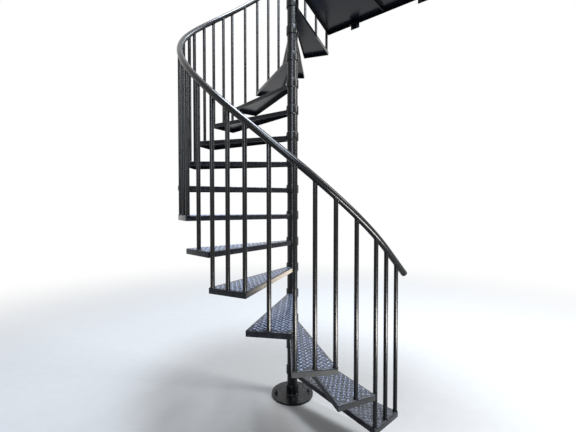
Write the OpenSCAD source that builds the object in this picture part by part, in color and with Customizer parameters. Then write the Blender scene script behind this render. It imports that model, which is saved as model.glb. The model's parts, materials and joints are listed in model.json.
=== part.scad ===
// Steel spiral stair: pan treads on a centre pole, tube balusters, a helical
// handrail and a guarded landing that bolts to the edge of a deck.
// The origin is the centre of the base plate's underside. +Z is up, and +Y
// points at the deck.

/* [Stair] */
// Rise from one step to the next
riser_h = 190.5; // [175:0.5:210]
// Number of treads below the landing
tread_count = 15; // [8:1:16]
// Angle from one tread to the next
tread_angle = 17.1; // [15:0.1:19]
// Distance from the pole's axis to the outer face of a tread
tread_reach = 786; // [650:1:900]

/* [Pole and hubs] */
// Outer diameter of the centre pole
pole_od = 76; // [65:1:102]
// Wall of the centre pole
pole_wall = 6; // [4:0.5:10]
// Length of the pole above the axis of the guard rail
pole_stub = 42; // [30:1:120]
// Height of the domed cap on the pole
pole_cap_h = 16; // [8:1:30]
// Wall of the hub sleeves
hub_wall = 6.2; // [5:0.1:10]
// Length of a hub sleeve
hub_h = 58; // [50:1:90]
// Height of a hub sleeve above its tread plate
hub_above = 23; // [10:1:40]
// Radial play between the pole and a hub sleeve
hub_play = 0.3; // [0.1:0.05:0.5]
// Bevel on the rims of a hub sleeve
hub_bevel = 2; // [0.5:0.5:3]

/* [Treads] */
// Width of a tread's outline where its sides would meet the pole's axis
tread_root = 44; // [36:1:60]
// Overlap of two neighbouring treads at their outer corners
tread_lap = 4; // [0:0.5:16]
// Thickness of the tread plate
plate_t = 5; // [3:0.5:8]
// Depth of the folded lip, measured from the top of the plate
lip_depth = 32; // [25:1:50]
// Thickness of the folded lip
lip_t = 4; // [3:0.5:6]

/* [Balusters] */
// Diameter of a baluster
bar_d = 24; // [18:1:28]
// Steel left between a baluster and the outer edge of its tread
bar_edge = 2; // [1.5:0.5:8]
// How much further in a tie baluster stands than the others
tie_setback = 4; // [3:0.5:10]
// Play between a tie baluster and the nosing it stands against
bar_play = 0.3; // [0.1:0.05:0.5]

/* [Handrail] */
// Diameter of the handrail and of the guard rail
rail_d = 38; // [34:1:50]
// Height of the handrail's axis above each nosing
rail_height = 859; // [800:1:950]
// Length of the handrail past the first baluster
rail_tail_low = 95; // [40:1:140]
// Length of the handrail past the last baluster
rail_tail_high = 45; // [30:1:120]
// Boundary below which the handrail runs straight; half a step is the middle of tread 1
rail_bend = 0.5; // [0:0.1:0.6]
// Height of the domed caps on the rail ends
rail_cap_h = 9; // [5:1:16]
// Play between the rail and the coped top of a baluster
cope_play = 0.1; // [0:0.05:0.3]

/* [Landing] */
// How much shorter than a tread the landing is, from the pole to the deck
landing_inset = 11.5; // [0:0.5:40]
// Distance from the pole's axis to the guarded end of the landing
landing_width = 800; // [700:1:1000]
// Angle between the landing's nosing and a line square to the deck
landing_skew = 13.5; // [5:0.5:20]
// Thickness of the landing plates
landing_t = 5; // [4:0.5:8]
// Leg of the angle that frames the landing
angle_leg = 32; // [25:1:60]
// Thickness of that angle
angle_t = 4; // [3:0.5:6]
// Distance from the pole's axis to the seam between the two plates
seam_x = 362; // [250:1:450]
// Width of the seam
seam_gap = 2; // [1:0.5:4]

/* [Guard rail] */
// Height of the guard rail's axis above the landing
guard_h = 895; // [870:1:1050]
// Largest distance between the axes of two guard balusters
guard_pitch = 115; // [90:1:120]
// Diameter of the newel where the guard rail ends
newel_d = 38; // [30:1:50]
// Length of the guard rail past the newel's axis
guard_tail = 19; // [19:1:23]

/* [Deck brackets] */
// Distance from the pole's axis to the first bracket
bracket_x = 93; // [60:1:150]
// Distance from the second bracket to the guarded end of the landing
bracket_end = 123; // [70:1:200]
// Width of a bracket
bracket_w = 80; // [70:1:110]
// Leg of a bracket
bracket_leg = 37; // [30:1:60]
// Thickness of a bracket
bracket_t = 6; // [4:0.5:8]
// Distance between the two bolt holes of a bracket
bracket_hole_span = 44; // [36:1:48]
// Diameter of those bolt holes
bracket_hole_d = 11; // [9:0.5:13]

/* [Base] */
// Diameter of the base plate
base_d = 305; // [260:1:400]
// Thickness of the base plate
base_t = 12; // [8:1:20]
// Diameter of the circle of anchor holes
anchor_circle_d = 240; // [200:1:250]
// Diameter of an anchor hole
anchor_hole_d = 16; // [12:1:22]
// Number of anchor holes
anchor_count = 4; // [4:1:8]
// Height of the collar round the foot of the pole
collar_h = 60; // [40:1:100]

/* [Hidden] */
$fn = 48;
rail_sides = 16;
rail_rings_per_turn = 132;
steel = [0.12, 0.13, 0.15];
cut = 1;

hub_r = pole_od / 2 + hub_play + hub_wall;
bore_r = pole_od / 2 + hub_play;
bar_inset = bar_d / 2 + bar_edge;
half_turn = tread_angle / 2;
root_half = tread_root / 2;
end_half = tread_reach * tan(half_turn) + tread_lap / 2;
side_tilt = atan((end_half - root_half) / tread_reach);
bar_row = tread_reach - bar_inset;
corner_spot = tread_corner(bar_row, bar_d / 2, 1);
tie_spot = tread_corner(bar_row - tie_setback, -bar_d / 2 - bar_play, 1);
rail_r = rail_d / 2;
cope_l = 6 * bar_d;
rail_path_r = (bar_row + bar_row / cos(half_turn)) / 2;
step_run = PI * rail_path_r * tread_angle / 180;
rail_pitch = atan(riser_h / step_run);
steps_per_mm = cos(rail_pitch) / step_run;
rail_start = -rail_tail_low * steps_per_mm;
rail_end = tread_count + rail_tail_high * steps_per_mm;

landing_depth = tread_reach - landing_inset;
landing_lap = tread_lap / 2;
landing_z = level(tread_count + 1);
plate_under = landing_z - landing_t;
frame_under = plate_under - angle_leg;
guard_z = landing_z + guard_h;
guard_x = landing_width - newel_d / 2;
newel_y = landing_depth - newel_d / 2 - bar_edge;
guard_end_y = newel_y + guard_tail;
pole_top = guard_z + pole_stub;

// Name of a tread, counted from the ground
function tread_name(n) = str("tread_", n < 10 ? "0" : "", n);

// Height of the n-th walking surface above the ground
function level(n) = n * riser_h;

// Direction of the k-th boundary between treads; boundary 0 is the first nosing
function boundary_angle(k) = 90 + landing_skew + (tread_count - k) * tread_angle;

// Height of the handrail's axis over boundary k
function rail_z(k) = level(k + 1) + rail_height;

// A point beside a tread's long edge, x along the tread, inset towards its middle;
// side 1 is the nosing
function tread_corner(x, inset, side) =
    [x, side * (root_half + x * tan(side_tilt) - inset / cos(side_tilt))];

// Outline of a tread out to far, its long edges drawn in by inset
function tread_outline(far, inset) = [
    tread_corner(0, inset, -1),
    tread_corner(far, inset, -1),
    tread_corner(far, inset, 1),
    tread_corner(0, inset, 1)
];

// Steps from the boundary below a tread to a spot in that tread's plan
function steps_to(spot) = (half_turn - atan2(spot.y, spot.x)) / tread_angle;

// Point of the landing's nosing line at height y of the plan
function nosing_point(y, margin) =
    [-y * tan(landing_skew) - margin / cos(landing_skew), y];

// Outline of the landing, drawn in by inset on every side
function landing_outline(inset) = [
    nosing_point(-bar_inset + inset, landing_lap - inset),
    [landing_width - inset, -bar_inset + inset],
    [landing_width - inset, landing_depth - inset],
    nosing_point(landing_depth - inset, landing_lap - inset)
];

// Length in plan of the handrail's straight low end from boundary k to the bend
function straight_run(k) = max(rail_bend - k, 0) * step_run;

// Cross-section of the handrail at boundary k, as a ring of points
function rail_ring(k) = [
    for (i = [0:rail_sides - 1])
        let (
            a = boundary_angle(max(k, rail_bend)),
            b = 360 * i / rail_sides,
            out = rail_path_r + rail_r * cos(b),
            side = -rail_r * sin(b) * sin(rail_pitch) - straight_run(k),
            up = rail_r * sin(b) * cos(rail_pitch)
        )
        [out * cos(a) + side * sin(a), out * sin(a) - side * cos(a), rail_z(k) + up]
];

// Moves its children to the handrail's axis at boundary k, with +Z uphill along it
module at_rail(k) {
    rotate([0, 0, boundary_angle(max(k, rail_bend))])
        translate([rail_path_r, straight_run(k), rail_z(k)])
            rotate([90 - rail_pitch, 0, 0])
                children();
}

// Domed cap for a tube of radius r
module dome(r, h) {
    ball_r = (r * r + h * h) / (2 * h);
    intersection() {
        translate([0, 0, h - ball_r]) sphere(ball_r, $fn = 96);
        cylinder(r = r, h = h);
    }
}

// Sleeve round the pole, with bevelled rims
module hub(z_top) {
    translate([0, 0, z_top - hub_h])
        rotate_extrude()
            polygon([
                [bore_r, 0],
                [hub_r - hub_bevel, 0],
                [hub_r, hub_bevel],
                [hub_r, hub_h - hub_bevel],
                [hub_r - hub_bevel, hub_h],
                [bore_r, hub_h]
            ]);
}

// Room for the pole through a hub
module pole_bore(z_low, z_high) {
    translate([0, 0, z_low - cut]) cylinder(r = bore_r, h = z_high - z_low + 2 * cut);
}

// Baluster under the handrail at boundary k, coped to fit the tube
module stair_baluster(k, radius, foot_z) {
    difference() {
        rotate([0, 0, boundary_angle(k)])
            translate([radius, 0, foot_z])
                cylinder(d = bar_d, h = rail_z(k) - foot_z);
        at_rail(k) cylinder(r = rail_r + cope_play, h = cope_l, center = true);
    }
}

module base_plate() {
    color(steel)
        difference() {
            union() {
                cylinder(d = base_d, h = base_t, $fn = 96);
                translate([0, 0, base_t]) cylinder(r = hub_r, h = collar_h);
            }
            pole_bore(base_t + cut, base_t + collar_h);
            for (i = [0:anchor_count - 1])
                rotate([0, 0, (i + 0.5) * 360 / anchor_count])
                    translate([anchor_circle_d / 2, 0, -cut])
                        cylinder(d = anchor_hole_d, h = base_t + 2 * cut);
        }
}

module centre_pole() {
    color(steel)
        translate([0, 0, base_t])
            difference() {
                cylinder(d = pole_od, h = pole_top - base_t);
                translate([0, 0, -cut])
                    cylinder(d = pole_od - 2 * pole_wall, h = pole_top - base_t + 2 * cut);
            }
}

module pole_cap() {
    color(steel) translate([0, 0, pole_top]) dome(pole_od / 2, pole_cap_h);
}

// A pan tread on its hub
module tread(n) {
    color(steel)
        rotate([0, 0, boundary_angle(n - 0.5)])
            translate([0, 0, level(n)])
                difference() {
                    union() {
                        pan();
                        hub(hub_above);
                    }
                    pole_bore(hub_above - hub_h, hub_above);
                }
}

// Plate with its lips folded down all round, top at height 0
module pan() {
    translate([0, 0, -lip_depth])
        difference() {
            linear_extrude(lip_depth) polygon(tread_outline(tread_reach, 0));
            translate([0, 0, -cut])
                linear_extrude(lip_depth - plate_t + cut)
                    polygon(tread_outline(tread_reach - lip_t, lip_t));
        }
}

// Balusters that stand on the nosing corner of the tread above an even boundary
module corner_balusters() {
    color(steel)
        for (k = [0:2:tread_count])
            stair_baluster(k + steps_to(corner_spot), norm(corner_spot), level(k + 1));
}

// Longer balusters that stand against a nosing and tie it to the tread below it
module tie_balusters() {
    color(steel)
        for (k = [1:2:tread_count])
            stair_baluster(k + steps_to(tie_spot), norm(tie_spot), level(k));
}

module mid_balusters() {
    color(steel)
        for (n = [1:tread_count])
            stair_baluster(n - 0.5, bar_row, level(n));
}

module handrail() {
    span = rail_end - rail_start;
    rings = ceil(span * tread_angle * rail_rings_per_turn / 360);
    points = [for (j = [0:rings]) each rail_ring(rail_start + span * j / rings)];
    skin = [
        for (j = [0:rings - 1], i = [0:rail_sides - 1])
            let (next = (i + 1) % rail_sides)
            [
                j * rail_sides + i,
                j * rail_sides + next,
                (j + 1) * rail_sides + next,
                (j + 1) * rail_sides + i
            ]
    ];
    low_end = [for (i = [rail_sides - 1:-1:0]) i];
    high_end = [for (i = [0:rail_sides - 1]) rings * rail_sides + i];
    color(steel) polyhedron(points, concat(skin, [low_end], [high_end]), convexity = 10);
}

module handrail_caps() {
    plug_r = rail_r * cos(180 / rail_sides);
    color(steel) {
        at_rail(rail_start) mirror([0, 0, 1]) dome(plug_r, rail_cap_h);
        at_rail(rail_end) dome(plug_r, rail_cap_h);
    }
}

// Angle frame round the landing, one leg under the plate and one hanging down,
// with the hub that carries its inner corner
module landing_frame() {
    color(steel)
        difference() {
            union() {
                translate([0, 0, frame_under])
                    linear_extrude(angle_leg)
                        difference() {
                            polygon(landing_outline(0));
                            polygon(landing_outline(angle_t));
                        }
                translate([0, 0, plate_under - angle_t])
                    linear_extrude(angle_t)
                        difference() {
                            polygon(landing_outline(0));
                            polygon(landing_outline(angle_leg));
                        }
                hub(landing_z + hub_above);
            }
            pole_bore(frame_under, landing_z + hub_above);
        }
}

// Angle under the seam: one leg under the left plate, one hanging down
module landing_stiffener() {
    run = landing_depth + bar_inset - 2 * angle_leg;
    color(steel)
        translate([seam_x + angle_t, angle_leg - bar_inset, plate_under]) {
            translate([-angle_leg, 0, -angle_t]) cube([angle_leg, run, angle_t]);
            translate([-angle_t, 0, -angle_leg]) cube([angle_t, run, angle_leg]);
        }
}

module landing_plate(points) {
    color(steel)
        difference() {
            translate([0, 0, plate_under]) linear_extrude(landing_t) polygon(points);
            translate([0, 0, plate_under - cut])
                cylinder(r = hub_r + hub_play, h = landing_t + 2 * cut);
        }
}

module landing_plate_left() {
    edge = seam_x - seam_gap / 2;
    rim = landing_outline(0);
    landing_plate([rim[0], [edge, rim[0].y], [edge, landing_depth], rim[3]]);
}

module landing_plate_right() {
    edge = seam_x + seam_gap / 2;
    rim = landing_outline(0);
    landing_plate([[edge, rim[1].y], rim[1], rim[2], [edge, landing_depth]]);
}

// Angle clip under the frame, its upright leg against the deck
module deck_bracket(x) {
    color(steel)
        translate([x - bracket_w / 2, landing_depth, frame_under])
            difference() {
                union() {
                    translate([0, -bracket_leg, -bracket_t])
                        cube([bracket_w, bracket_leg, bracket_t]);
                    translate([0, -bracket_t, -bracket_leg])
                        cube([bracket_w, bracket_t, bracket_leg]);
                }
                for (side = [-1, 1])
                    translate([
                        bracket_w / 2 + side * bracket_hole_span / 2,
                        cut,
                        -(bracket_leg + bracket_t) / 2
                    ])
                        rotate([90, 0, 0])
                            cylinder(d = bracket_hole_d, h = bracket_t + 2 * cut);
            }
}

module deck_bracket_left() deck_bracket(bracket_x);

module deck_bracket_right() deck_bracket(landing_width - bracket_end);

// Upright under the guard rail, coped to fit the tube that runs along
module guard_upright(x, y, d, along) {
    difference() {
        translate([x, y, landing_z]) cylinder(d = d, h = guard_h);
        translate([x, y, guard_z])
            rotate(along)
                cylinder(r = rail_r + cope_play, h = cope_l, center = true);
    }
}

module guard_balusters() {
    along_x = [0, 90, 0];
    along_y = [90, 0, 0];
    bays_x = ceil(guard_x / guard_pitch);
    bays_y = ceil(newel_y / guard_pitch);
    color(steel) {
        for (i = [1:bays_x])
            guard_upright(guard_x * i / bays_x, 0, bar_d, along_x);
        for (j = [1:bays_y - 1])
            guard_upright(guard_x, newel_y * j / bays_y, bar_d, along_y);
    }
}

module guard_newel() {
    color(steel) guard_upright(guard_x, newel_y, newel_d, [90, 0, 0]);
}

// Two straight runs with a mitred corner, coped to the pole
module guard_rail() {
    color(steel)
        translate([0, 0, guard_z])
            difference() {
                union() {
                    rotate([0, 90, 0]) cylinder(r = rail_r, h = guard_x);
                    translate([guard_x, 0, 0]) sphere(rail_r);
                    translate([guard_x, 0, 0])
                        rotate([-90, 0, 0]) cylinder(r = rail_r, h = guard_end_y);
                }
                cylinder(r = pole_od / 2, h = 4 * rail_d, center = true);
            }
}

module guard_rail_cap() {
    color(steel)
        translate([guard_x, guard_end_y, guard_z]) rotate([-90, 0, 0]) dome(rail_r, rail_cap_h);
}

base_plate();
centre_pole();
pole_cap();
for (n = [1:tread_count])
    tread(n);
corner_balusters();
tie_balusters();
mid_balusters();
handrail();
handrail_caps();
landing_frame();
landing_stiffener();
landing_plate_left();
landing_plate_right();
deck_bracket_left();
deck_bracket_right();
guard_balusters();
guard_newel();
guard_rail();
guard_rail_cap();
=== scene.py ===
"""Spiral staircase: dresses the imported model. Every length is in metres."""

import json
import math
import random

import bpy
import bmesh
from mathutils import Matrix, Vector

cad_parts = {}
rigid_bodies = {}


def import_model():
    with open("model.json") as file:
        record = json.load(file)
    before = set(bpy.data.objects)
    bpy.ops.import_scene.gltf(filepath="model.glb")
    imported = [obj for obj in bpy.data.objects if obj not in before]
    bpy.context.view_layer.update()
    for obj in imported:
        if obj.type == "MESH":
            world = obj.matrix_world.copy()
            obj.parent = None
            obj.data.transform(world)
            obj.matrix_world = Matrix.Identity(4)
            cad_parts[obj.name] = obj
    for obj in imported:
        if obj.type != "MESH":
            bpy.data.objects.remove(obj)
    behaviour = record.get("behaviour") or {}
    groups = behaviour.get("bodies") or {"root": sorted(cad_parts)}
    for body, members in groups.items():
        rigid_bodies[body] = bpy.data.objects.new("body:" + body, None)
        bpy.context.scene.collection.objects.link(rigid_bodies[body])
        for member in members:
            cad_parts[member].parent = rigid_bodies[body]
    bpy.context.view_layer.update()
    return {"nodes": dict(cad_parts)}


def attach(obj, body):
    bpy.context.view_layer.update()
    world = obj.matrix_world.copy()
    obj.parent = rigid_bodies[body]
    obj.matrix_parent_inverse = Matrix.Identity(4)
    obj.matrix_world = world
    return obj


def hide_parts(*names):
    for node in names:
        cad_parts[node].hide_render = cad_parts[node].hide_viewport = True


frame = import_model()

# Sizes of the stair, as in the model

# Treads are counted from below. TURN is the angle from one to the next, LAP the overlap of
# their outer corners, and TILT the angle between a tread's long side and its middle line.
RISER = 0.1905
TREADS = 15
TURN = math.radians(17.1)
HALF = TURN / 2
REACH = 0.786
ROOT_HALF = 0.022
LAP = 0.004
END_HALF = REACH * math.tan(HALF) + LAP / 2
TILT = math.atan((END_HALF - ROOT_HALF) / REACH)
PLATE_T = 0.005
LIP = 0.032
LIP_T = 0.004

# Pole, hubs and base plate
POLE_R = 0.038
BORE_R = 0.0383
HUB_R = 0.0445
HUB_H = 0.058
HUB_ABOVE = 0.023
HUB_BEVEL = 0.002
BASE_T = 0.012
COLLAR_H = 0.060
ANCHOR_R = 0.120

# Balusters stand in one row, and the tie balusters a little further in
BAR_R = 0.012
BAR_EDGE = 0.002
BAR_PLAY = 0.0003
MARGIN = BAR_R + BAR_EDGE
BAR_ROW = REACH - MARGIN
TIE_SETBACK = 0.004
TIE_ROW = BAR_ROW - TIE_SETBACK

# Handrail: a helix, straight below the step RAIL_BEND. Its tails are lengths past the first and the
# last baluster, and RAIL_START and RAIL_END are steps.
RAIL_R = 0.019
RAIL_HEIGHT = 0.859
RAIL_TAIL_LOW = 0.095
RAIL_TAIL_HIGH = 0.045
RAIL_BEND = 0.5
RAIL_PATH_R = (BAR_ROW + BAR_ROW / math.cos(HALF)) / 2
RAIL_PITCH = math.atan(RISER / (RAIL_PATH_R * TURN))
STEPS_PER_M = math.cos(RAIL_PITCH) / (RAIL_PATH_R * TURN)
RAIL_START = -RAIL_TAIL_LOW * STEPS_PER_M
RAIL_END = TREADS + RAIL_TAIL_HIGH * STEPS_PER_M

# Landing with its frame and brackets. SKEW is the angle of its nosing, BRACKETS the brackets' middles.
SKEW = math.radians(13.5)
LANDING_Z = RISER * (TREADS + 1)
LANDING_T = 0.005
LANDING_W = 0.800
LANDING_INSET = 0.0115
LANDING_D = REACH - LANDING_INSET
ANGLE_LEG = 0.032
ANGLE_T = 0.004
SEAM_X = 0.362
SEAM_GAP = 0.002
BRACKETS = (0.093, 0.677)
BRACKET_W = 0.080
BRACKET_T = 0.006
BRACKET_LEG = 0.037
BRACKET_HOLE_SPAN = 0.044

# Guard of the landing
GUARD_H = 0.895
GUARD_Z = LANDING_Z + GUARD_H
GUARD_PITCH = 0.115
NEWEL_R = 0.019
GUARD_X = LANDING_W - NEWEL_R
NEWEL_Y = LANDING_D - NEWEL_R - BAR_EDGE


def boundary(k):
    """Direction of the k-th boundary between treads."""
    return math.pi / 2 + SKEW + (TREADS - k) * TURN


def rail_z(k):
    """Height of the handrail's axis at step k."""
    return RISER * (k + 1) + RAIL_HEIGHT


def half_width(x, inset=0.0):
    """Half the width of a tread at x, drawn in by inset."""
    return ROOT_HALF + x * math.tan(TILT) - inset / math.cos(TILT)


def polar(radius, angle):
    """Point at a radius and an angle, on two axes."""
    return radius * math.cos(angle), radius * math.sin(angle)


def spoke(angle, length=1.0):
    """Level vector of a length along an angle."""
    return Vector((*polar(length, angle), 0))


# Where balusters stand in the frame of the tread whose nosing they stand on or against
CORNER_SPOT = (BAR_ROW, half_width(BAR_ROW, BAR_R))
TIE_SPOT = (TIE_ROW, half_width(TIE_ROW, -BAR_R - BAR_PLAY))


def bar_seat(k):
    """Exact boundary, radius and foot height of the baluster at k, a whole or a half step."""
    if k % 1:
        return k, BAR_ROW, RISER * math.ceil(k)
    x, y = TIE_SPOT if k % 2 else CORNER_SPOT
    return k + (HALF - math.atan2(y, x)) / TURN, math.hypot(x, y), RISER * (k if k % 2 else k + 1)


# Materials

class Nodes:
    """The emptied node tree of a material or world, with short ways to fill it."""

    def __init__(self, owner):
        owner.use_nodes = True
        self.tree = owner.node_tree
        self.tree.nodes.clear()

    def add(self, kind, inputs=(), **settings):
        """New node. Its inputs, by name or number, take plain values or outputs of other nodes."""
        node = self.tree.nodes.new(kind)
        for key, value in settings.items():
            setattr(node, key, value)
        for key, value in dict(inputs).items():
            if isinstance(value, bpy.types.NodeSocket):
                self.tree.links.new(value, node.inputs[key])
            else:
                node.inputs[key].default_value = value
        return node

    def maths(self, operation, *values):
        return self.add("ShaderNodeMath", enumerate(values), operation=operation).outputs[0]

    def product(self, first, *others):
        for value in others:
            first = self.maths("MULTIPLY", first, value)
        return first

    def ramp(self, value, low, high, low_value=0.0, high_value=1.0, **settings):
        """Output that runs from low_value to high_value as value goes from low to high."""
        return self.add("ShaderNodeMapRange", {
            "Value": value, "From Min": low, "From Max": high, "To Min": low_value, "To Max": high_value,
        }, **settings).outputs[0]

    def noise(self, place, scale, detail, roughness=0.5):
        return self.add("ShaderNodeTexNoise", {
            "Vector": place, "Scale": scale, "Detail": detail, "Roughness": roughness,
        }).outputs["Fac"]

    def blend(self, share, a, b):
        """Output that turns from a to b, colours or outputs, as share goes from 0 to 1."""
        a, b = [(*c, 1) if isinstance(c, tuple) else c for c in (a, b)]
        mix = self.add("ShaderNodeMix", {"Factor": share, "A": a, "B": b}, data_type="RGBA")
        return mix.outputs["Result"]

    def attribute(self, name):
        return self.add("ShaderNodeAttribute", attribute_name=name).outputs["Fac"]


DUST = (0.15, 0.155, 0.165)
BARE_STEEL = (0.34, 0.37, 0.44)
# Mid grey painted over a surface: painted light on the black paint, painted shade on the pale lugs
PAINTED_LIGHT_SHADE_GREY = (0.185, 0.182, 0.172)


def paint(name, colour, dust_and_sheen, rough, worn=0.0, dust_and_sheen_colour=DUST, waves=0.04, ior=1.36):
    """Gloss paint: brush waves, pinholes and a dusting on what faces up, which on the treads is blue and
    also paints the sky's sheen on their tops.
    A worn paint is also rubbed bare where the attribute wear says, and takes a painted grey of light and
    shade where its light and shade attribute says."""
    material = bpy.data.materials.new(name)
    nodes = Nodes(material)
    place = nodes.add("ShaderNodeTexCoord").outputs["Object"]
    broad = nodes.noise(place, 5.0, 5.0, 0.6)
    fine = nodes.noise(place, 60.0, 4.0, 0.55)
    grit = nodes.noise(place, 420.0, 3.0, 0.6)

    tone = nodes.blend(broad, tuple(c * 0.72 for c in colour), tuple(c * 1.3 for c in colour))
    normal = nodes.add("ShaderNodeNewGeometry").outputs["Normal"]
    upward = nodes.add("ShaderNodeSeparateXYZ", {0: normal}).outputs["Z"]
    facing = nodes.ramp(upward, 0.35, 0.95)
    patches = nodes.ramp(fine, 0.38, 0.72)
    drift = nodes.ramp(broad, 0.3, 0.7, 0.35, 1.0)
    # dust on what faces up; with the treads' blue it is also a painted sheen
    dust_and_sheen_share = nodes.product(facing, patches, drift, dust_and_sheen)
    result = nodes.blend(dust_and_sheen_share, tone, dust_and_sheen_colour)

    if worn:
        chips = nodes.ramp(grit, 0.50, 0.62)
        scrape = nodes.ramp(fine, 0.36, 0.66)
        bare = nodes.product(chips, scrape, nodes.attribute("wear"), worn)
        result = nodes.blend(bare, result, BARE_STEEL)
        # painted light and shade: a grey film in random streaks where the attribute says
        streaks = nodes.ramp(broad, 0.30, 0.62, 0.55, 1.0)
        light_shade_share = nodes.product(nodes.attribute("painted_light_shade"), streaks)
        result = nodes.blend(light_shade_share, result, PAINTED_LIGHT_SHADE_GREY)

    gloss = nodes.ramp(fine, 0.3, 0.7, *rough)
    roughness = nodes.maths("MULTIPLY_ADD", dust_and_sheen_share, 0.35, gloss)
    pinholes = nodes.add("ShaderNodeBump", {
        "Strength": waves / 4, "Distance": 0.0006, "Height": grit,
    })
    brushed = nodes.add("ShaderNodeBump", {
        "Strength": waves, "Distance": 0.0012, "Height": fine, "Normal": pinholes.outputs["Normal"],
    })
    shader = nodes.add("ShaderNodeBsdfPrincipled", {
        "Base Color": result, "Roughness": roughness, "IOR": ior, "Normal": brushed.outputs["Normal"],
    })
    nodes.add("ShaderNodeOutputMaterial", {"Surface": shader.outputs[0]})
    return material


BLACK = (0.0045, 0.0052, 0.0070)
TREAD_BLACK = (0.0065, 0.0078, 0.0125)
# The lugs' pale blue is a painted reflection of the sky on glossy black paint
LUG_SKY_REFLECTION = (0.38, 0.46, 0.68)
BOLT_GREY = (0.03, 0.032, 0.038)
# The treads' blue dust is dust and also a painted sheen of the sky on their tops
TREAD_DUST_AND_SHEEN = (0.086, 0.108, 0.176)
TUBE = paint("tube_paint", BLACK, dust_and_sheen=0.10, rough=(0.21, 0.25), waves=0.015, ior=1.30)
POLE = paint("pole_paint", BLACK, dust_and_sheen=0.20, rough=(0.22, 0.28), waves=0.02, ior=1.30)
TREAD = paint("tread_paint", TREAD_BLACK, dust_and_sheen=0.62, rough=(0.20, 0.28), worn=0.8,
              dust_and_sheen_colour=TREAD_DUST_AND_SHEEN, waves=0.08, ior=1.5)
SIDE = paint("side_paint", TREAD_BLACK, dust_and_sheen=0.85, rough=(0.20, 0.28), worn=0.8,
             dust_and_sheen_colour=TREAD_DUST_AND_SHEEN, waves=0.05, ior=1.27)
LUG = paint("lug_painted_reflection", LUG_SKY_REFLECTION, dust_and_sheen=0.10, rough=(0.26, 0.34), worn=1.0,
            dust_and_sheen_colour=TREAD_DUST_AND_SHEEN, ior=1.5)
FRAME = paint("frame_paint", BLACK, dust_and_sheen=0.22, rough=(0.22, 0.34), waves=0.06, ior=1.27)
BOLT = paint("bolt_paint", BOLT_GREY, dust_and_sheen=0.3, rough=(0.3, 0.5))


# Mesh tools

SHARP = math.radians(40)
FACES_UP = 0.5


def make(name, parts, replaces=(), sides=None):
    """One piece from parts: (vertices, faces, material, wear by vertex or None, then painted light and
    shade by vertex if any).
    What doesn't face up on the first material takes the paint for sides, if one is given."""
    verts, faces, marks, wear, painted_light_shade, materials = [], [], [], [], [], []
    for part_verts, part_faces, material, part_wear, *part_painted_light_shade in parts:
        if material not in materials:
            materials.append(material)
        start = len(verts)
        verts += [tuple(v) for v in part_verts]
        faces += [[start + i for i in f] for f in part_faces]
        marks += [materials.index(material)] * len(part_faces)
        wear += part_wear or [0.0] * len(part_verts)
        painted_light_shade += part_painted_light_shade[0] if part_painted_light_shade else [0.0] * len(part_verts)
    mesh = bpy.data.meshes.new(name)
    mesh.from_pydata(verts, [], faces)
    for material in materials:
        mesh.materials.append(material)
    mesh.polygons.foreach_set("material_index", marks)
    mesh.attributes.new("wear", "FLOAT", "POINT").data.foreach_set("value", wear)
    mesh.attributes.new("painted_light_shade", "FLOAT", "POINT").data.foreach_set("value", painted_light_shade)
    work = bmesh.new()
    work.from_mesh(mesh)
    bmesh.ops.recalc_face_normals(work, faces=work.faces)
    work.to_mesh(mesh)
    work.free()
    mesh.shade_smooth()
    mesh.set_sharp_from_angle(angle=SHARP)
    if sides:
        mesh.materials.append(sides)
        for face in mesh.polygons:
            if face.material_index == 0 and face.normal.z < FACES_UP:
                face.material_index = len(materials)
    obj = bpy.data.objects.new(name, mesh)
    bpy.context.scene.collection.objects.link(obj)
    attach(obj, "root")
    if replaces:
        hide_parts(*replaces)


def moved(verts, matrix):
    return [matrix @ Vector(v) for v in verts]


def plain(shapes, material, place=Matrix()):
    """Parts without wear, from shapes of vertices and faces, moved to a place."""
    return [(moved(v, place), f, material, None) for v, f in shapes]


def loft(rings, capped=True):
    """Vertices and faces of closed rings of equal length, joined in order."""
    n = len(rings[0])
    verts = [v for ring in rings for v in ring]
    faces = []
    for j in range(len(rings) - 1):
        for i in range(n):
            k = (i + 1) % n
            faces.append([j * n + i, j * n + k, (j + 1) * n + k, (j + 1) * n + i])
    if capped:
        faces.append(list(range(n))[::-1])
        faces.append([(len(rings) - 1) * n + i for i in range(n)])
    return verts, faces


def level_points(centre, radius, angles):
    x, y, z = centre
    return [(x + radius * math.cos(a), y + radius * math.sin(a), z) for a in angles]


def circle(centre, radius, count, start=0.0):
    """Points round a level circle."""
    return level_points(centre, radius, [start + 2 * math.pi * i / count for i in range(count)])


def arc(centre, radius, count, start, end):
    """Points along a level arc, with both its ends."""
    share = (end - start) / (count - 1)
    return level_points(centre, radius, [start + share * i for i in range(count)])


def revolve(profile, sides=64):
    """Closed profile of (radius, height) turned round Z."""
    verts, faces = loft([circle((0, 0, z), r, sides) for r, z in profile], capped=False)
    last = (len(profile) - 1) * sides
    for i in range(sides):
        k = (i + 1) % sides
        faces.append([last + i, last + k, k, i])
    return verts, faces


# A bead's rings are thicker and thinner by turns, each with a small share of chance, and the rings
# at its two ends are small.
BEAD_RIPPLE = 0.14
BEAD_JITTER = 0.08
BEAD_END = 0.45


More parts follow.
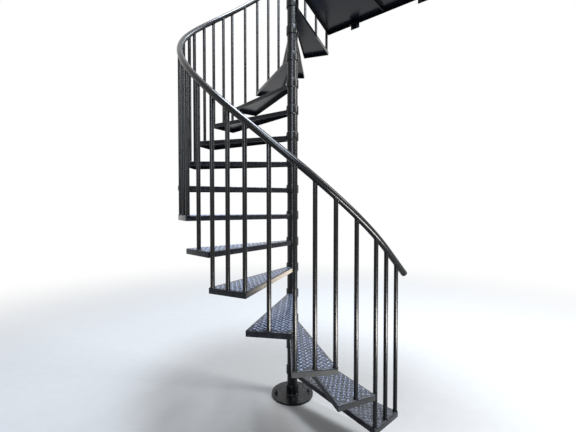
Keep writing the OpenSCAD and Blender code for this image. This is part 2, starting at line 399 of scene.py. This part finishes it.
def bead(path, radius, closed=True, sides=7, seed=0):
    """Weld bead along a path of points."""
    rng = random.Random(seed)
    points = [Vector(p) for p in path]
    count = len(points)
    rings = []
    normal = None
    for i, p in enumerate(points):
        before = points[(i - 1) % count] if closed or i else p
        after = points[(i + 1) % count] if closed or i < count - 1 else p
        along = (after - before).normalized()
        if normal is None:
            normal = along.orthogonal().normalized()
        normal = (normal - along * normal.dot(along)).normalized()
        other = along.cross(normal)
        ripple = BEAD_RIPPLE if i % 2 else -BEAD_RIPPLE
        size = radius * (1 + ripple + rng.uniform(-BEAD_JITTER, BEAD_JITTER))
        if not closed and i in (0, count - 1):
            size *= BEAD_END
        rings.append([
            p + (normal * math.cos(a) + other * math.sin(a)) * size
            for a in (2 * math.pi * s / sides for s in range(sides))
        ])
    verts, faces = loft(rings, capped=not closed)
    if closed:
        # the rings may have turned on the way round, so the last joins the first with the best match
        last = (count - 1) * sides
        turn = min(range(sides), key=lambda t: (rings[-1][0] - rings[0][t]).length)
        for s in range(sides):
            a, b = last + s, last + (s + 1) % sides
            c, d = (s + 1 + turn) % sides, (s + turn) % sides
            faces.append([a, b, c, d])
    return verts, faces


# Radii of the weld beads
HUB_BEAD, PLATE_BEAD, LIP_BEAD = 0.0026, 0.0030, 0.0026
BAR_BEAD, TIE_BEAD, RAIL_BEAD, NEWEL_BEAD = 0.0021, 0.0023, 0.0017, 0.0016
STITCH_BEAD, BASE_BEAD, COLLAR_BEAD = 0.0024, 0.0034, 0.0028
# How far the middle of a bead stands off the pole or a hub, and off a plate
HUB_OFF, PLATE_OFF = 0.0010, 0.0005
# The same for the foot of an upright, and for what it stands on
FOOT_OFF, FOOT_LIFT = 0.0012, 0.0004
# The same where a coped tube ends: off the tube or the pole, off the handrail, off the guard rail
COPE_OFF, RAIL_OFF, GUARD_OFF = 0.0006, 0.0004, 0.0003
# How far the bead on top of the newel lies inside it, as the newel is as thick as the rail
NEWEL_IN = 0.0004
# Points of a bead round a baluster, or on top of the newel
BAR_POINTS = 28


def bar_bead(x, y, z, seed):
    """Bead round the foot of a baluster."""
    ring = circle((x, y, z + FOOT_LIFT), BAR_R + FOOT_OFF, BAR_POINTS)
    return bead(ring, BAR_BEAD, sides=6, seed=seed)


def hub_beads(z_top, seed):
    """Beads between a hub and the pole, above and below."""
    return [
        bead(circle((0, 0, z), POLE_R + HUB_OFF, 72), HUB_BEAD, seed=seed + i)
        for i, z in enumerate((z_top, z_top - HUB_H))
    ]


# Lugs of the diamond plate

LUG_PITCH = 0.0254
LUG_L, LUG_W, LUG_H = 0.0270, 0.0090, 0.0019
LUG_SINK = 0.0004
LUG_SHOULDER = 0.0002


def lug_outline(share_l, share_w):
    """Pointed oval in eight points, as shares of a lug's length and width."""
    steps = (1.0, 0.62, 0.0, -0.62, -1.0)
    upper = [(s, 1 - s * s) for s in steps]
    lower = [(-s, -(1 - s * s)) for s in steps[1:-1]]
    return [(x * share_l * LUG_L / 2, y * share_w * LUG_W / 2) for x, y in upper + lower]


# Outline, height and wear of a lug's foot, shoulder and top
LUG_RINGS = (
    (lug_outline(1.0, 1.0), -LUG_SINK, 0.0),
    (lug_outline(0.97, 0.96), LUG_SHOULDER, 0.1),
    (lug_outline(0.72, 0.55), LUG_H, 1.0),
)
# All of this outline has to be clear for a lug
LUG_REACH = lug_outline(1.06, 1.15)

# How far lugs keep from a hub, a baluster, the newel, the landing's edges and its seam
LUG_FROM_HUB = 0.006
LUG_FROM_BAR = 0.0035
LUG_FROM_NEWEL = 0.004
LUG_FROM_EDGE = 0.002
LUG_FROM_SEAM = 0.0015


def lugs(keep, x_range, y_range, offset, z, turn=0.0):
    """Raised lugs in a weave, where keep allows. Each points at the middles of two that lie
    across it."""
    verts, faces, wear = [], [], []
    step = LUG_PITCH / math.sqrt(2)
    middle = [sum(r) / 2 + o for r, o in zip((x_range, y_range), offset)]
    reach = int(math.hypot(x_range[1] - x_range[0], y_range[1] - y_range[0]) / 2 / step) + 3
    ct, st = polar(1, turn)
    for i in range(-reach, reach + 1):
        for j in range(-reach + (reach + i) % 2, reach + 1, 2):
            cx = middle[0] + (i * ct - j * st) * step
            cy = middle[1] + (i * st + j * ct) * step
            ca, sa = polar(1, turn + (math.pi / 4 if i % 2 else -math.pi / 4))

            def at(p):
                return cx + p[0] * ca - p[1] * sa, cy + p[0] * sa + p[1] * ca

            if not all(keep(*at(p)) for p in LUG_REACH):
                continue
            rings = [[(*at(p), z + height) for p in ring] for ring, height, _ in LUG_RINGS]
            part_verts, part_faces = loft(rings)
            start = len(verts)
            verts += part_verts
            faces += [[start + q for q in face] for face in part_faces]
            wear += [share for ring, _, share in LUG_RINGS for _ in ring]
    return verts, faces, wear


def clear_of(x, y, spots):
    """Whether a point is clear of the balusters that stand on the spots."""
    return all(math.hypot(x - a, y - b) > BAR_R + LUG_FROM_BAR for a, b in spots)


# Treads

# Fold between plate and lip, rounded outer corners, and the bevel of the lip's lower rim
FOLD_R, FOLD_STEPS = 0.005, 5
CORNER_FILLET, CORNER_STEPS = 0.006, 5
RIM = 0.0006
# Inner end of a pan, an arc hidden in the hub's wall, and the thickness of its skin there
PAN_IN, ROOT_STEPS = 0.0405, 4
END_WALL = 0.0025
# How far lugs keep from the edges
LUG_FROM_FOLD = FOLD_R + 0.0005


def side_angle(radius, inset=0.0):
    """Angle at which a tread's long edge crosses a circle round the pole."""
    return math.asin((ROOT_HALF * math.cos(TILT) - inset) / radius) + TILT


def pan_ring(inset, z, r_in):
    """Outline of a tread drawn in by inset: rounded outer corners, an arc inside its hub."""
    x_c = REACH - CORNER_FILLET
    y_c = half_width(x_c, CORNER_FILLET)
    corner = []
    for i in range(CORNER_STEPS + 1):
        x, y = polar(CORNER_FILLET - inset, (math.pi / 2 + TILT) * i / CORNER_STEPS)
        corner.append((x_c + x, y_c + y))
    other = [(x, -y) for x, y in reversed(corner)]
    b = side_angle(r_in, inset)
    root = [polar(r_in, b * t / ROOT_STEPS) for t in range(ROOT_STEPS, -ROOT_STEPS - 1, -1)]
    return [(x, y, z) for x, y in other + corner + root]


def pan():
    """Folded plate of a tread: its inner skin, then the outer one from the rim up over the fold."""
    inner = [
        pan_ring(LIP_T, -PLATE_T, PAN_IN + END_WALL),
        pan_ring(LIP_T, -LIP + RIM, PAN_IN + END_WALL),
        pan_ring(LIP_T - RIM, -LIP, PAN_IN + END_WALL),
    ]
    outer = [pan_ring(RIM, -LIP, PAN_IN), pan_ring(0, -LIP + RIM, PAN_IN)]
    for i in range(FOLD_STEPS + 1):
        x, y = polar(FOLD_R, math.pi / 2 * i / FOLD_STEPS)
        outer.append(pan_ring(FOLD_R - x, y - FOLD_R, PAN_IN))
    verts, faces = loft(inner + outer)
    # nothing wears the inside; outside, the rim wears a little, the top of the lip least and the
    # fold most
    ring_wear = [0.0] * len(inner) + [0.5, 0.5, 0.15, 0.15] + [1.0] * (FOLD_STEPS - 1)
    wear = [share for share in ring_wear for _ in outer[0]]
    return verts, faces, wear


def hub(z_top):
    """Sleeve with its two outer rims rounded."""
    profile = [(BORE_R, -HUB_H)]
    for z, start in ((-HUB_H + HUB_BEVEL, -math.pi / 2), (-HUB_BEVEL, 0.0)):
        for i in range(5):
            x, y = polar(HUB_BEVEL, start + math.pi / 2 * i / 4)
            profile.append((HUB_R - HUB_BEVEL + x, z + y))
    profile.append((BORE_R, 0.0))
    return revolve([(r, z_top + z) for r, z in profile], 56)


# Where a tie baluster stands in the frame of the tread that carries it
REAR_SPOT = polar(math.hypot(*TIE_SPOT), math.atan2(TIE_SPOT[1], TIE_SPOT[0]) - TURN)
# Half the angle between a tread's long edges at its hub
SIDE_ANGLE = side_angle(HUB_R)

# Beads down the lips at the hub: where they start, and how much shorter than the lip they are
LIP_BEAD_TOP = 0.002
LIP_BEAD_SHORT = 0.003

# Half the width of the field that a tread's weave is laid over
WEAVE_HALF = 0.14

# Painted light and shade on the lowest treads, by number: a lighter grey painted on the outer end's face
# as light falling there, and a grey painted over the lugs as shade
END_PAINTED_LIGHT = {1: 0.25, 2: 0.38, 3: 1.0}
LUG_PAINTED_SHADE = {1: 0.80, 2: 0.20}
END_FACE_X = REACH - 0.0045
END_FACE_Z = -0.004


def tread(n):
    """Tread n: the pan with its lugs and beads, and the hub with those that join it to the pole."""
    rng = random.Random(100 + n)
    place = Matrix.Translation((0, 0, RISER * n)) @ Matrix.Rotation(boundary(n - 0.5), 4, "Z")
    spots = [(BAR_ROW, 0.0)]
    if n % 2:
        spots += [CORNER_SPOT, REAR_SPOT]

    def keep(x, y):
        return (
            x < REACH - LUG_FROM_FOLD
            and abs(y) < half_width(x, LUG_FROM_FOLD)
            and math.hypot(x, y) > HUB_R + LUG_FROM_HUB
            and clear_of(x, y, spots)
        )

    v, f, wear = pan()
    # painted light: the outer end's face of a low tread is lightened
    light_shade_share = END_PAINTED_LIGHT.get(n, 0.0)
    painted_light_shade = [light_shade_share if x > END_FACE_X and z < END_FACE_Z else 0.0 for x, y, z in v]
    parts = [(moved(v, place), f, TREAD, wear, painted_light_shade)]
    origin = (rng.uniform(0, LUG_PITCH), rng.uniform(0, LUG_PITCH))
    # the plate is cut with its weave along one long side, now one and now the other
    weave_turn = -TILT if n % 2 else TILT
    v, f, wear = lugs(keep, (0, REACH), (-WEAVE_HALF, WEAVE_HALF), origin, 0, weave_turn)
    # painted shade: the lugs of the lowest treads are darkened
    parts.append((moved(v, place), f, LUG, wear, [LUG_PAINTED_SHADE.get(n, 0.0)] * len(v)))

    run = arc((0, 0, PLATE_OFF), HUB_R + HUB_OFF, 25, -SIDE_ANGLE, SIDE_ANGLE)
    beads = [bead(run, PLATE_BEAD, closed=False, seed=n)]
    for side in (-1, 1):
        x, y = polar(HUB_R, side * SIDE_ANGLE)
        run = [(x, y, -LIP_BEAD_TOP - (LIP - LIP_BEAD_SHORT) * i / 12) for i in range(13)]
        beads.append(bead(run, LIP_BEAD, closed=False, seed=n + side))
    parts += plain(beads, POLE, place)
    sleeve = plain([hub(HUB_ABOVE)] + hub_beads(HUB_ABOVE, 10 * n), POLE, place)
    make(f"tread_{n:02d}_pan", parts, [f"tread_{n:02d}"], sides=SIDE)
    make(f"tread_{n:02d}_hub", sleeve)


for number in range(1, TREADS + 1):
    tread(number)


# Handrail and what is welded to the balusters

RAIL_SIDES = 32
RAIL_RINGS = 190
# Beads of the tie balusters: off the middle, into the joint, and short of the lip's two edges
TIE_BEAD_SIDE = 0.0056
TIE_BEAD_IN = 0.0009
TIE_BEAD_END = 0.003


def rail_frame(k):
    """Point on the handrail's axis, and its directions out, across the slope and uphill in plan."""
    out = spoke(boundary(max(k, RAIL_BEND)))
    uphill = Vector((out.y, -out.x, 0))
    across = Vector((0, 0, math.cos(RAIL_PITCH))) - uphill * math.sin(RAIL_PITCH)
    straight = max(RAIL_BEND - k, 0) * RAIL_PATH_R * TURN
    return out * RAIL_PATH_R - uphill * straight + Vector((0, 0, rail_z(k))), out, across, uphill


def handrail():
    turns = [polar(1, 2 * math.pi * i / RAIL_SIDES) for i in range(RAIL_SIDES)]
    rings = []
    for j in range(RAIL_RINGS + 1):
        p, out, across, _ = rail_frame(RAIL_START + (RAIL_END - RAIL_START) * j / RAIL_RINGS)
        rings.append([p + (out * x + across * y) * RAIL_R for x, y in turns])
    make("handrail_tube", plain([loft(rings)], TUBE), ["handrail"])


def cope_path(k, radius):
    """Curve where a baluster meets the underside of the handrail."""
    centre = spoke(boundary(k), radius)
    p, out, _, uphill = rail_frame(k)
    path = []
    for i in range(BAR_POINTS):
        q = centre + spoke(2 * math.pi * i / BAR_POINTS) * (BAR_R + COPE_OFF)
        # height at which the upright line through q meets the tube's underside
        flat = Vector((q.x - p.x, q.y - p.y, 0))
        drop = math.sqrt((RAIL_R + RAIL_OFF) ** 2 - flat.dot(out) ** 2)
        lift = flat.dot(uphill) * math.tan(RAIL_PITCH) - drop / math.cos(RAIL_PITCH)
        path.append((q.x, q.y, p.z + lift))
    return path


def tie_beads(k, seed):
    """Two upright beads between a tie baluster and the nosing it stands against."""
    seat, radius, _ = bar_seat(k)
    centre = spoke(boundary(seat), radius)
    if k == TREADS:
        out = -spoke(SKEW)
        gap = centre.dot(out) - LAP / 2
    else:
        out = spoke(boundary(k + 0.5) + math.pi / 2 + TILT)
        gap = BAR_R + BAR_PLAY
    side = Vector((-out.y, out.x, 0))
    top = RISER * (k + 1) - TIE_BEAD_END
    length = LIP - 2 * TIE_BEAD_END
    beads = []
    for s in (-1, 1):
        foot = centre - out * (gap - TIE_BEAD_IN) + side * TIE_BEAD_SIDE * s
        run = [foot + Vector((0, 0, top - length * i / 10)) for i in range(11)]
        beads.append(bead(run, TIE_BEAD, closed=False, sides=6, seed=seed + s))
    return beads


def bar_welds():
    """Beads at the balusters' feet, against the nosings, and under the rail."""
    feet, tops = [], []
    for half_steps in range(2 * TREADS + 1):
        k = half_steps / 2
        seat, radius, foot = bar_seat(k)
        feet.append(bar_bead(*polar(radius, boundary(seat)), foot, half_steps))
        if k % 2 == 1:
            feet += tie_beads(k, 100 + half_steps)
        tops.append(bead(cope_path(seat, radius), RAIL_BEAD, sides=6, seed=half_steps + 50))
    make("baluster_foot_welds", plain(feet, TUBE))
    make("handrail_welds", plain(tops, TUBE))


handrail()
bar_welds()


# Landing

# Low corner of the field that the landing's weave is laid over, and the shift of the weave in it
WEAVE_LOW = (-0.22, -0.02)
WEAVE_SHIFT = (0.004, 0.007)

# Where the stitched lines along the frame start, clear of the hub
FIRST_X, FIRST_Y = 0.06, 0.10
# Where those beside the seam start, and how far before the far edge they stop
SEAM_LOW, SEAM_HIGH = 0.05, 0.07
# How far the beads on a bracket stop before its sides
BRACKET_BEAD_SHORT = 0.004
# Half the angle that the bead round the newel leaves open
NEWEL_OPEN = math.radians(34)


def nosing_x(y, inset=0.0):
    """Where the landing's nosing, drawn in by inset, runs at y."""
    return -y * math.tan(SKEW) - (LAP / 2 - inset) / math.cos(SKEW)


def guard_spots():
    """Where the guard's balusters stand: on the corner and along both guarded edges."""
    bays_x = math.ceil(GUARD_X / GUARD_PITCH)
    bays_y = math.ceil(NEWEL_Y / GUARD_PITCH)
    along_x = [(GUARD_X * i / bays_x, 0) for i in range(1, bays_x)]
    along_y = [(GUARD_X, NEWEL_Y * j / bays_y) for j in range(1, bays_y)]
    return [(GUARD_X, 0)] + along_x + along_y


GUARD_SPOTS = guard_spots()


def landing_lugs(side, x_range, seam_side):
    """Lugs of one landing plate, which lies before the seam where seam_side is -1, or past it
    where it is 1."""
    def keep(x, y):
        return (
            -MARGIN + LUG_FROM_EDGE < y < LANDING_D - LUG_FROM_EDGE
            and nosing_x(y, LUG_FROM_EDGE) < x < LANDING_W - LUG_FROM_EDGE
            and math.hypot(x, y) > HUB_R + LUG_FROM_HUB
            and math.hypot(x - GUARD_X, y - NEWEL_Y) > NEWEL_R + LUG_FROM_NEWEL
            and clear_of(x, y, GUARD_SPOTS)
            and (x - SEAM_X) * seam_side > SEAM_GAP / 2 + LUG_FROM_SEAM
        )

    v, f, wear = lugs(keep, x_range, (WEAVE_LOW[1], LANDING_D), WEAVE_SHIFT, LANDING_Z)
    make(f"landing_lugs_{side}", [(v, f, LUG, wear)])


def stitches(rng, start, end, spacing=0.13, length=0.03):
    """Short beads spaced along a line."""
    start, end = Vector(start), Vector(end)
    count = max(1, int((end - start).length / spacing))
    beads = []
    for i in range(count):
        middle = start + (end - start) * ((i + 0.5) / count + rng.uniform(-0.01, 0.01))
        step = (end - start).normalized() * length
        run = [middle + step * (t / 10 - 0.5) for t in range(11)]
        beads.append(bead(run, STITCH_BEAD, closed=False, sides=6, seed=i))
    return beads


def landing_welds():
    """Beads of the landing: at its hub, round the guard's feet, and stitches that hold its frame."""
    beads = hub_beads(LANDING_Z + HUB_ABOVE, 900)
    ring = circle((0, 0, LANDING_Z + PLATE_OFF), HUB_R + HUB_OFF, 80)
    beads.append(bead(ring, PLATE_BEAD, seed=911))
    for i, (x, y) in enumerate(GUARD_SPOTS):
        beads.append(bar_bead(x, y, LANDING_Z, i))
    # the newel stands flush with the plate's edge, so its bead leaves that side open
    foot = (GUARD_X, NEWEL_Y, LANDING_Z + FOOT_LIFT)
    run = arc(foot, NEWEL_R + FOOT_OFF, 36, NEWEL_OPEN, 2 * math.pi - NEWEL_OPEN)
    beads.append(bead(run, STITCH_BEAD, closed=False, sides=6))

    # between the plates and the inner edges of the frame's upper leg and of the angle under the seam
    z = LANDING_Z - LANDING_T
    low_y, high_y = ANGLE_LEG - MARGIN, LANDING_D - ANGLE_LEG
    far_x = LANDING_W - ANGLE_LEG
    nose = (nosing_x(high_y, ANGLE_LEG), high_y, z)
    lines = [
        ((FIRST_X, low_y, z), (far_x, low_y, z)),
        ((far_x, low_y, z), (far_x, high_y, z)),
        (nose, (far_x, high_y, z)),
        ((nosing_x(FIRST_Y, ANGLE_LEG), FIRST_Y, z), nose),
    ]
    for x in (SEAM_X + ANGLE_T - ANGLE_LEG, SEAM_X + ANGLE_T):
        lines.append(((x, SEAM_LOW, z), (x, LANDING_D - SEAM_HIGH, z)))
    rng = random.Random(5)
    for start, end in lines:
        beads += stitches(rng, start, end)
    # between the brackets and the lower edge of the frame
    reach = BRACKET_W / 2 - BRACKET_BEAD_SHORT
    for x in BRACKETS:
        ends = [(x + s * reach, LANDING_D - ANGLE_T, z - ANGLE_LEG) for s in (-1, 1)]
        beads += stitches(rng, *ends, 0.05, 0.04)
    make("landing_welds", plain(beads, FRAME))


landing_lugs("left", (WEAVE_LOW[0], SEAM_X), -1)
landing_lugs("right", (SEAM_X, LANDING_W), 1)
landing_welds()


def saddle(x, y, radius, along_x):
    """Curve where an upright tube meets the underside of the guard rail."""
    path = []
    for i in range(BAR_POINTS):
        dx, dy = polar(radius, 2 * math.pi * i / BAR_POINTS)
        off_axis = dy if along_x else dx
        drop = math.sqrt((RAIL_R + GUARD_OFF) ** 2 - off_axis ** 2)
        path.append((x + dx, y + dy, GUARD_Z - drop))
    return path


def guard_welds():
    """Beads under the guard rail and where it meets the pole."""
    beads = []
    for i, (x, y) in enumerate(GUARD_SPOTS):
        beads.append(bead(saddle(x, y, BAR_R + COPE_OFF, y == 0), RAIL_BEAD, sides=6, seed=i))
    newel_top = saddle(GUARD_X, NEWEL_Y, NEWEL_R - NEWEL_IN, False)
    beads.append(bead(newel_top, NEWEL_BEAD, sides=6, seed=40))
    ring = []
    for i in range(44):
        y, z = polar(RAIL_R + COPE_OFF, 2 * math.pi * i / 44)
        ring.append((math.sqrt(POLE_R ** 2 - y * y) + COPE_OFF, y, GUARD_Z + z))
    beads.append(bead(ring, STITCH_BEAD, sides=6, seed=41))
    make("guard_welds", plain(beads, TUBE))


guard_welds()


# Base and bolts

def base_welds():
    """Beads at the foot and at the top of the base plate's collar."""
    foot = bead(circle((0, 0, BASE_T + PLATE_OFF), HUB_R + FOOT_OFF, 84), BASE_BEAD, seed=1)
    top = bead(circle((0, 0, BASE_T + COLLAR_H), POLE_R + HUB_OFF, 72), COLLAR_BEAD, seed=2)
    make("base_welds", plain([foot, top], POLE))


# Washers: radius, hole radius and thickness. Nut and head: width across flats and height.
ANCHOR_WASHER = (0.0135, 0.0072, 0.0025)
ANCHOR_NUT = (0.021, 0.0110)
LAG_WASHER = (0.0110, 0.0054, 0.0020)
LAG_HEAD = (0.0150, 0.0065)
# Shank of a lag bolt: radius, how far it goes into the head, and how far it stops before the
# bracket's back
LAG_R = 0.0050
LAG_TOP = 0.0025
LAG_SHORT = 0.0005
# Turns an upright bolt so that its head points along -Y
SIDEWAYS = Matrix.Rotation(math.pi / 2, 4, "X")
WASHER_BEVEL = 0.0004
# Gap under a washer, so that no faces coincide
ANCHOR_SEAT = 0.0002
LAG_SEAT = 0.0001

# Anchor rod: radius and height of its foot, thread from inside the nut up, and the end's bevel
ROD_FOOT = ((0.0060, 0.0015), (0.0068, 0.0025))
THREAD_PITCH = 0.0017
THREAD_TURNS = 7
THREAD_CREST = 0.0068
THREAD_ROOT = 0.0061
THREAD_IN_NUT = 0.001
ROD_END = ((0.0064, 0.0), (0.0052, 0.0012))


def washer(radius, hole, thick, z):
    b = WASHER_BEVEL
    return revolve([(hole, z), (radius - b, z), (radius, z + b), (radius, z + thick - b),
                    (radius - b, z + thick), (hole, z + thick)], 32)


# Lower and upper chamfer of a nut or head, and the width of its top face, as shares of its width
SEAT_CHAMFER = 0.024
TOP_CHAMFER = 0.06
TOP_SHARE = 0.95


def hexagon(radius, z, turn):
    """Hexagon in twelve points: its corners and the middles of its sides."""
    shares = (1, math.cos(math.pi / 6))
    return [(*polar(radius * shares[i % 2], math.pi / 6 * i + turn), z) for i in range(12)]


def hex_head(across, height, z, turn):
    """Nut or bolt head, a hexagon with chamfered rims."""
    flat_r = across / 2
    corner_r = flat_r / math.cos(math.pi / 6)
    return loft([
        circle((0, 0, z), flat_r, 12, turn),
        hexagon(corner_r, z + SEAT_CHAMFER * across, turn),
        hexagon(corner_r, z + height - TOP_CHAMFER * across, turn),
        circle((0, 0, z + height), flat_r * TOP_SHARE, 12, turn),
    ])


def rod(rings):
    """Round rod from rings of (radius, height)."""
    return loft([circle((0, 0, z), r, 24) for r, z in rings])


def anchor_bolts():
    """Each is a rod that rises through the base plate, with a washer and a nut."""
    seat = BASE_T + ANCHOR_SEAT
    z = seat + ANCHOR_WASHER[2] + ANCHOR_NUT[1] - THREAD_IN_NUT
    rings = list(ROD_FOOT)
    for _ in range(THREAD_TURNS):
        rings += [(THREAD_CREST, z), (THREAD_ROOT, z + THREAD_PITCH / 2)]
        z += THREAD_PITCH
    rings += [(r, z + rise) for r, rise in ROD_END]
    for i in range(4):
        place = Matrix.Translation(spoke(math.radians(45 + 90 * i), ANCHOR_R))
        # each nut was tightened to another angle
        nut = hex_head(*ANCHOR_NUT, seat + ANCHOR_WASHER[2], 0.3 + 1.1 * i)
        shapes = [washer(*ANCHOR_WASHER, seat), nut, rod(rings)]
        make(f"anchor_bolt_{i + 1}", plain(shapes, BOLT, place))


def lag_bolts():
    """Two to a bracket, their heads on its face and their shanks in its holes."""
    z = LANDING_Z - LANDING_T - ANGLE_LEG - (BRACKET_LEG + BRACKET_T) / 2
    places = [x + side * BRACKET_HOLE_SPAN / 2 for x in BRACKETS for side in (-1, 1)]
    for i, x in enumerate(places, 1):
        place = Matrix.Translation((x, LANDING_D - BRACKET_T, z)) @ SIDEWAYS
        shapes = [
            washer(*LAG_WASHER, LAG_SEAT),
            hex_head(*LAG_HEAD, LAG_SEAT + LAG_WASHER[2], 0.7 * i),
            rod([(LAG_R, LAG_TOP), (LAG_R, -BRACKET_T + LAG_SHORT)]),
        ]
        make(f"lag_bolt_{i}", plain(shapes, BOLT, place))


base_welds()
anchor_bolts()
lag_bolts()


# Finishes of the CAD nodes that stay as they are

KEPT = {
    "base_plate": POLE, "centre_pole": POLE, "pole_cap": POLE,
    "corner_balusters": TUBE, "tie_balusters": TUBE, "mid_balusters": TUBE,
    "handrail_caps": TUBE, "guard_balusters": TUBE, "guard_newel": TUBE,
    "guard_rail": TUBE, "guard_rail_cap": TUBE,
    "landing_frame": FRAME, "landing_stiffener": FRAME,
    "landing_plate_left": SIDE, "landing_plate_right": SIDE,
    "deck_bracket_left": FRAME, "deck_bracket_right": FRAME,
}
for name, material in KEPT.items():
    for slot in frame["nodes"][name].material_slots:
        slot.material = material


# Stage

WHITE = (1, 1, 1, 1)
FILL = (0.93, 0.96, 1.0, 1)
FILL_STRENGTH = 0.38
FLOOR_HALF = 60.0
FLOOR_Z = -0.0006
PLASTER = ((0.74, 0.735, 0.725), (0.80, 0.795, 0.785))
# Distances from the pole between which the floor turns white for the camera
FADE = (1.6, 6.5)

# The photograph's view: at eye height, aimed past the pole and a little down
EYE = (1.4782, -1.8338, 1.3755)
YAW, PITCH = math.radians(129.663), math.radians(-1.338)
SENSOR, LENS = 36.0, 20.0426


def world():
    """Soft fill on the object, and white for what the camera sees past it, straight or mirrored."""
    studio = bpy.data.worlds.new("studio")
    bpy.context.scene.world = studio
    nodes = Nodes(studio)
    path = nodes.add("ShaderNodeLightPath").outputs
    seen = nodes.maths("MAXIMUM", path["Is Camera Ray"], path["Is Glossy Ray"])
    seen = nodes.maths("MAXIMUM", seen, path["Is Transmission Ray"])
    white = nodes.add("ShaderNodeBackground", {"Color": WHITE, "Strength": 1.0}).outputs[0]
    fill = nodes.add("ShaderNodeBackground", {"Color": FILL, "Strength": FILL_STRENGTH}).outputs[0]
    mix = nodes.add("ShaderNodeMixShader", {0: seen, 1: fill, 2: white})
    nodes.add("ShaderNodeOutputWorld", {"Surface": mix.outputs[0]})


def floor():
    """Pale floor that turns to plain white a few metres away."""
    signs = ((-1, -1), (1, -1), (1, 1), (-1, 1))
    corners = [(x * FLOOR_HALF, y * FLOOR_HALF, FLOOR_Z) for x, y in signs]
    mesh = bpy.data.meshes.new("floor")
    mesh.from_pydata(corners, [], [[0, 1, 2, 3]])
    obj = bpy.data.objects.new("floor", mesh)
    bpy.context.scene.collection.objects.link(obj)
    material = bpy.data.materials.new("floor_plaster")
    nodes = Nodes(material)
    place = nodes.add("ShaderNodeTexCoord").outputs["Object"]
    distance = nodes.add("ShaderNodeVectorMath", {0: place}, operation="LENGTH").outputs["Value"]
    fade = nodes.ramp(distance, *FADE, interpolation_type="SMOOTHERSTEP")
    path = nodes.add("ShaderNodeLightPath").outputs
    seen = nodes.maths("MAXIMUM", path["Is Camera Ray"], path["Is Glossy Ray"])
    specks = nodes.noise(place, 14.0, 6.0)
    colour = nodes.blend(specks, *PLASTER)
    dull = nodes.add("ShaderNodeBsdfDiffuse", {"Color": colour}).outputs[0]
    bright = nodes.add("ShaderNodeEmission", {"Color": WHITE, "Strength": 1.0}).outputs[0]
    mix = nodes.add("ShaderNodeMixShader", {0: nodes.product(fade, seen), 1: dull, 2: bright})
    nodes.add("ShaderNodeOutputMaterial", {"Surface": mix.outputs[0]})
    mesh.materials.append(material)


def lamp(name, place, target, size, watts, colour=(1, 1, 1), only_on=None):
    """Area lamp, not seen by the camera. Its size is the width and the length, upward or outward.
    With only_on, a collection, it gives highlights alone, and only there."""
    data = bpy.data.lights.new(name, "AREA")
    data.shape = "RECTANGLE"
    data.size, data.size_y = size
    data.energy = watts
    data.color = colour
    obj = bpy.data.objects.new(name, data)
    bpy.context.scene.collection.objects.link(obj)
    obj.location = place
    obj.rotation_mode = "QUATERNION"
    obj.rotation_quaternion = (Vector(target) - Vector(place)).to_track_quat("-Z", "Y")
    obj.visible_camera = False
    if only_on:
        obj.visible_diffuse = False
        obj.light_linking.receiver_collection = only_on


def camera():
    data = bpy.data.cameras.new("camera")
    data.sensor_width = SENSOR
    data.lens = LENS
    data.clip_start, data.clip_end = 0.05, 200
    obj = bpy.data.objects.new("camera", data)
    bpy.context.scene.collection.objects.link(obj)
    obj.location = EYE
    ahead = spoke(YAW, math.cos(PITCH)) + Vector((0, 0, math.sin(PITCH)))
    obj.rotation_mode = "QUATERNION"
    obj.rotation_quaternion = ahead.to_track_quat("-Z", "Y")
    bpy.context.scene.camera = obj


def is_pan(obj):
    return obj.name.endswith("_pan")


def is_tube(obj):
    return not is_pan(obj) and any(slot.material in (TUBE, POLE) for slot in obj.material_slots)


def gather(name, wanted):
    """Collection of the pieces that pass the test, for a lamp that lights them alone."""
    group = bpy.data.collections.new(name)
    for obj in bpy.context.scene.objects:
        if obj.type == "MESH" and wanted(obj):
            group.objects.link(obj)
    return group


COOL = (0.78, 0.87, 1.0)
PALE_WARM = (1.0, 0.95, 0.88)
WARM = (1.0, 0.86, 0.68)
TUBES = gather("tubes", is_tube)
PANS = gather("pans", is_pan)
world()
floor()
lamp("key", (4.4, 2.0, 4.4), (0, 0, 1.3), (1.4, 2.4), 200)
lamp("sky", (0.3, 0.3, 7.2), (0.3, 0.29, 0), (1.8, 1.5), 325, COOL)
lamp("back", (-0.6, 3.6, 6.4), (0, 0, 1.6), (2.6, 1.2), 130, COOL)
lamp("strip_above", (1.9, -0.5, 6.3), (0, 0, 1.5), (2.4, 4.6), 1300, COOL, TUBES)
lamp("strip_front", (2.75, -4.2, 3.7), (0, 0, 1.9), (0.6, 3.6), 260, COOL, TUBES)
lamp("strip_low", (2.7, -0.9, 0.005), (2.7, -0.9, 3.0), (0.9, 2.4), 480, PALE_WARM, TUBES)
lamp("patch_behind", (0.45, 3.2, 0.30), (0.15, -0.45, 0.95), (1.4, 0.7), 26, WARM, PANS)
camera()
bpy.context.scene.view_settings.view_transform = "Standard"
